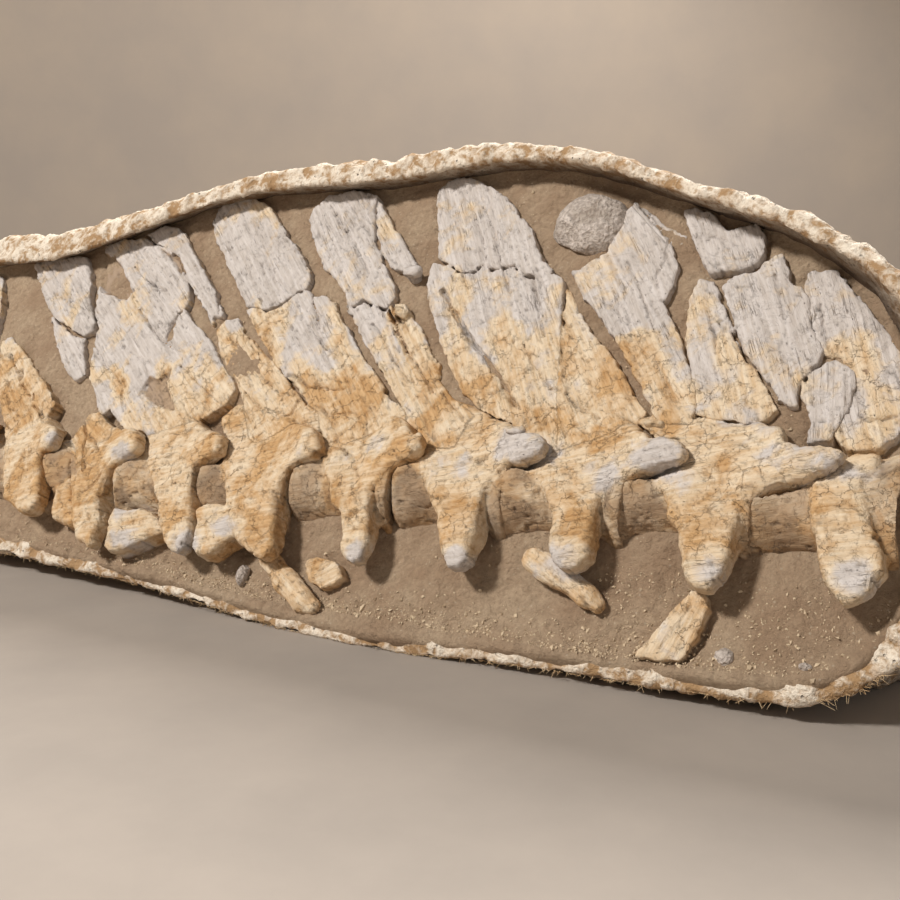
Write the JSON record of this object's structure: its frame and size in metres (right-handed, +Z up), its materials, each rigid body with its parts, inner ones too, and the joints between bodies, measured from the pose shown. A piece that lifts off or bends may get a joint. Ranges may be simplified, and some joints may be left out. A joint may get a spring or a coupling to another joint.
{
  "type": "fossil mosasaur vertebral column",
  "caption": "Run of articulated mosasaur tail vertebrae with tall neural spines, lying in sediment in an open plaster and burlap field jacket that stands on its flat base.",
  "frame": {"origin": "centre of the bounding box in plan, at the level of the flat base", "axes": "+X along the column toward the head end, +Y from the open face to the plaster back, +Z up"},
  "size_m": [1.1086, 0.2914, 0.3621],
  "materials": {
    "plaster": "rough cream plaster over burlap, pitted, stained ochre",
    "sediment": "matt brown silty sediment with small grains",
    "fossil_bone": "matt mineralised bone, white grey to ochre, cracked and striated",
    "grey_stone": "matt grey stone"
  },
  "bodies": {
    "root": {"bone_block": "fossil_bone", "bone_flat": "fossil_bone", "concretion": "grey_stone", "jacket_shell": "plaster", "matrix": "sediment", "pebble_1": "grey_stone", "pebble_2": "grey_stone", "pebble_3": "grey_stone", "rib_piece_1": "fossil_bone", "rib_piece_2": "fossil_bone", "spine_fragment": "fossil_bone", "spine_plate": "fossil_bone", "vertebra_01": "fossil_bone", "vertebra_02": "fossil_bone", "vertebra_03": "fossil_bone", "vertebra_04": "fossil_bone", "vertebra_05": "fossil_bone", "vertebra_06": "fossil_bone", "vertebra_07": "fossil_bone", "vertebra_08": "fossil_bone", "vertebra_09": "fossil_bone", "vertebra_10": "fossil_bone", "vertebra_11": "fossil_bone"}
  },
  "joints": []
}
